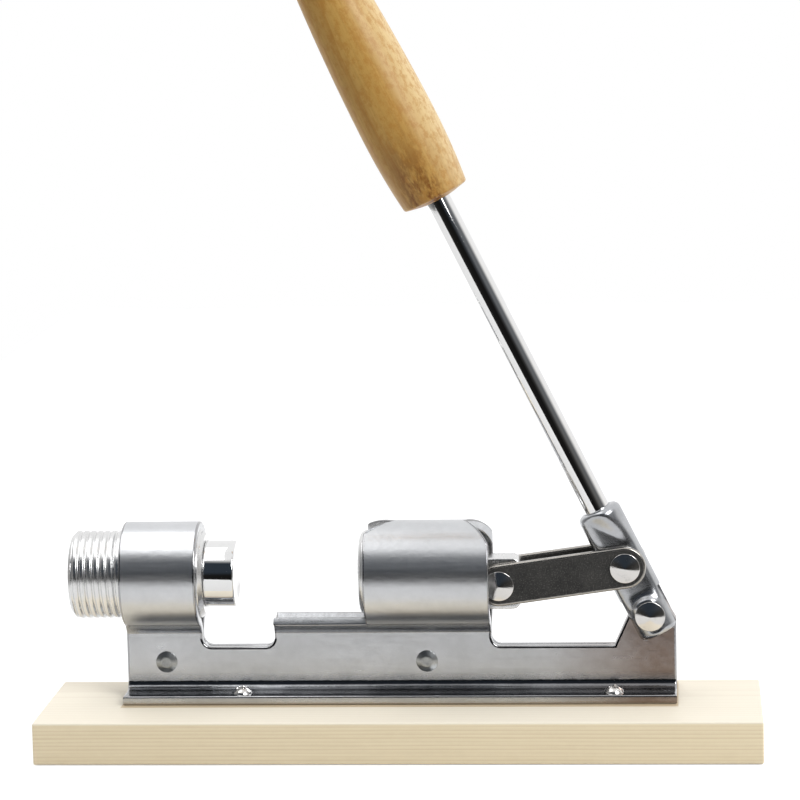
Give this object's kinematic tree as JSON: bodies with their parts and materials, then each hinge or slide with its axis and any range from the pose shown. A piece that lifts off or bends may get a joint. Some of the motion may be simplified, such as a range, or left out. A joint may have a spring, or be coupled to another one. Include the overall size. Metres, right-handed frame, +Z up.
{
  "type": "lever nutcracker",
  "caption": "Bench nutcracker on a pine board: a folded sheet frame with rolled barrels, a screw-set anvil cup, and a lever whose links push a ram against the nut.",
  "frame": {"origin": "middle of the board's underside", "axes": "+X along the board towards the lever's pivot, +Y across the board away from the viewer, +Z up out of the board's top"},
  "size_m": [0.23, 0.0584, 0.2612],
  "materials": {
    "pine": "planed, bare",
    "steel_sheet": "satin, plated",
    "turned_metal": "turned, bright",
    "bright_chrome": "mirror",
    "dark_steel": "dark, fine speckle",
    "cast_socket": "satin, cast",
    "fastener": "satin",
    "handle_wood": "turned, varnished"
  },
  "bodies": {
    "base": {"base_board": "pine", "body_frame": "steel_sheet", "front_web_rivet": "fastener", "middle_web_rivet": "fastener", "front_near_flange_screw": "fastener", "front_far_flange_screw": "fastener", "rear_near_flange_screw": "fastener", "rear_far_flange_screw": "fastener"},
    "anvil": {"anvil_cup": "bright_chrome", "anvil_retaining_ring": "fastener"},
    "adjuster": {"adjusting_screw": "turned_metal"},
    "plunger": {"ram": "turned_metal"},
    "lever": {"lever_socket": "cast_socket", "lever_rod": "bright_chrome", "handle": "handle_wood", "pivot_rivet": "fastener", "lever_link_rivet": "fastener"},
    "links": {"near_link": "dark_steel", "far_link": "dark_steel", "ram_link_rivet": "fastener"}
  },
  "joints": [
    {"name": "lever_swing", "type": "hinge", "parent": "base", "child": "lever", "pos_m": [0.0799, 0.00925, 0.0402], "axis": [0, -1, 0], "range_deg": [-28, 28]},
    {"name": "link_pivot", "type": "hinge", "parent": "lever", "child": "links", "pos_m": [0.07209, 0.00925, 0.05608], "axis": [0, -1, 0], "range_deg": [-33.3, 33.3]},
    {"name": "ram_slide", "type": "slide", "parent": "base", "child": "plunger", "axis": [-1, 0, 0], "range_m": [-0.008, 0.008]},
    {"name": "anvil_slide", "type": "slide", "parent": "base", "child": "anvil", "axis": [1, 0, 0], "range_m": [-0.00692, 0.01152]},
    {"name": "adjuster_turn", "type": "hinge", "parent": "anvil", "child": "adjuster", "pos_m": [-0.085, 0.00925, 0.0537], "axis": [1, 0, 0], "range_deg": [-1080, 1800]}
  ],
  "couplings": [
    {"joint": "link_pivot", "follows": "lever_swing", "ratio": -1.185},
    {"joint": "ram_slide", "follows": "lever_swing", "m_per_rad": 0.0163},
    {"joint": "anvil_slide", "follows": "adjuster_turn", "m_per_rad": 0.00036606}
  ]
}
